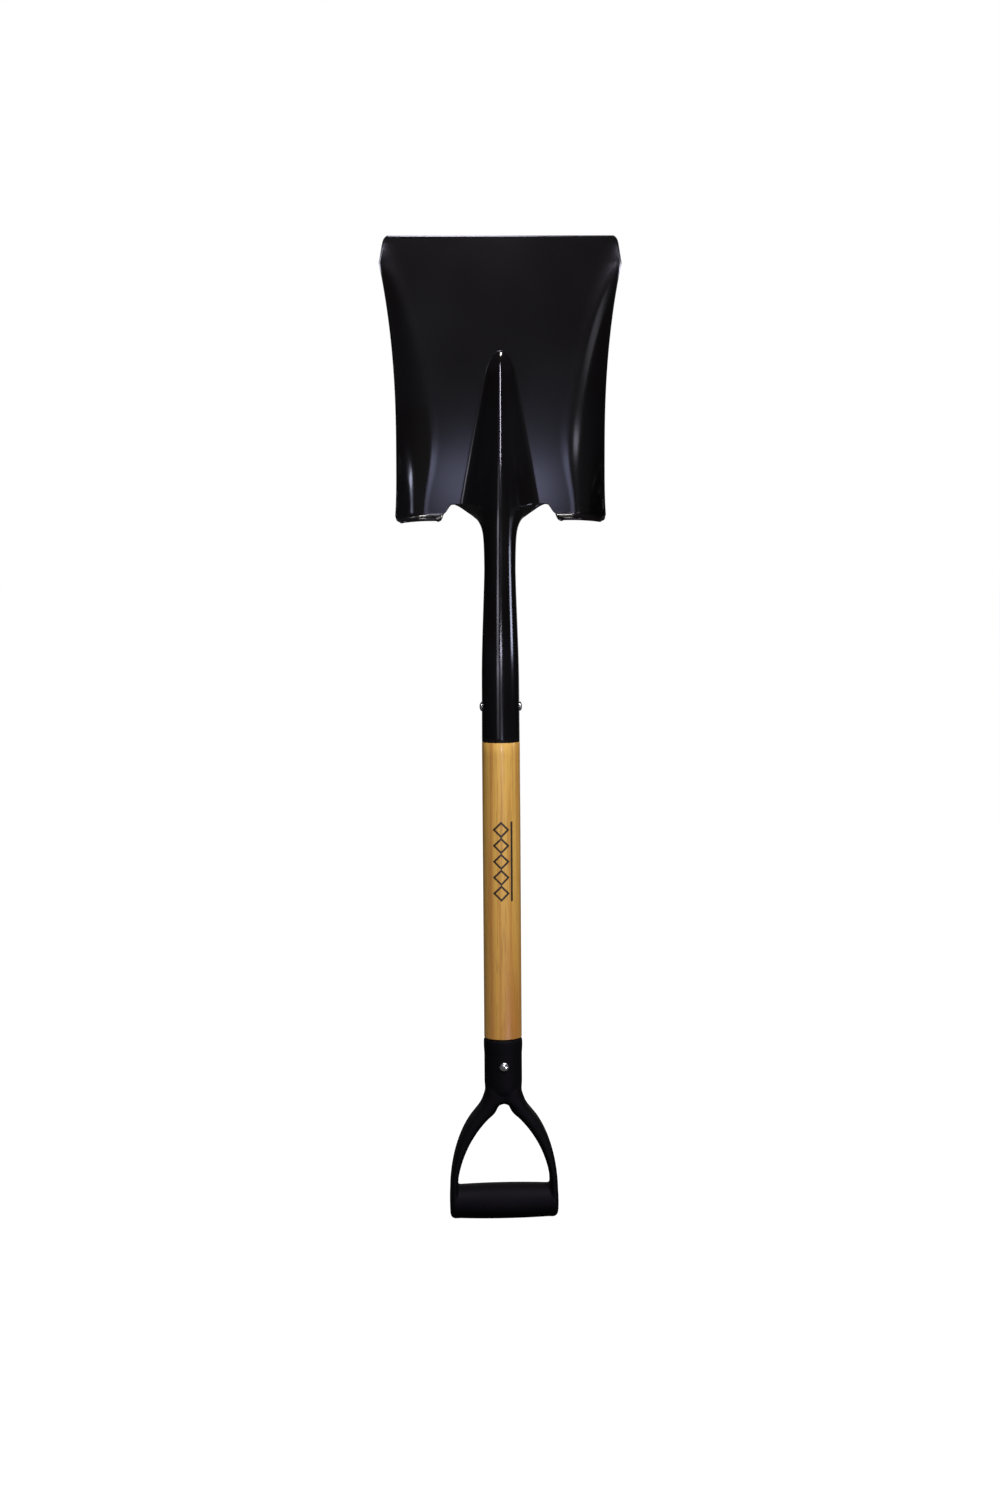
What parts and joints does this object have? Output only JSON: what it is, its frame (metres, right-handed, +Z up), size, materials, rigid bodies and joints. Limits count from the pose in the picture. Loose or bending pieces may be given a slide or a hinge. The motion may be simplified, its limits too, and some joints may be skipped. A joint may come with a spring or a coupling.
{
  "type": "square-mouth shovel",
  "caption": "Short square-mouth shovel with upturned sides, frog, forward-turned treads, wooden shaft and a moulded D-grip.",
  "frame": {"origin": "centre of the D-grip's hand bar, on the shaft's straight axis", "axes": "+Z up the shaft towards the blade, -Y on the scoop side of the blade, +X across to the right seen from the scoop side"},
  "size_m": [0.2334, 0.08, 0.9795],
  "materials": {
    "black_paint": "smooth black lacquer on pressed steel, semi-gloss",
    "lacquered_wood": "straight-grained ash, clear satin lacquer",
    "black_plastic": "moulded black plastic, fine satin texture",
    "rivet_steel": "bright zinc-plated steel, domed"
  },
  "bodies": {
    "root": {"shovel_head": "black_paint", "shaft": "lacquered_wood", "d_grip": "black_plastic", "socket_rivet": "rivet_steel", "grip_rivet": "rivet_steel", "grip_rivet_washer": "rivet_steel"}
  },
  "joints": []
}
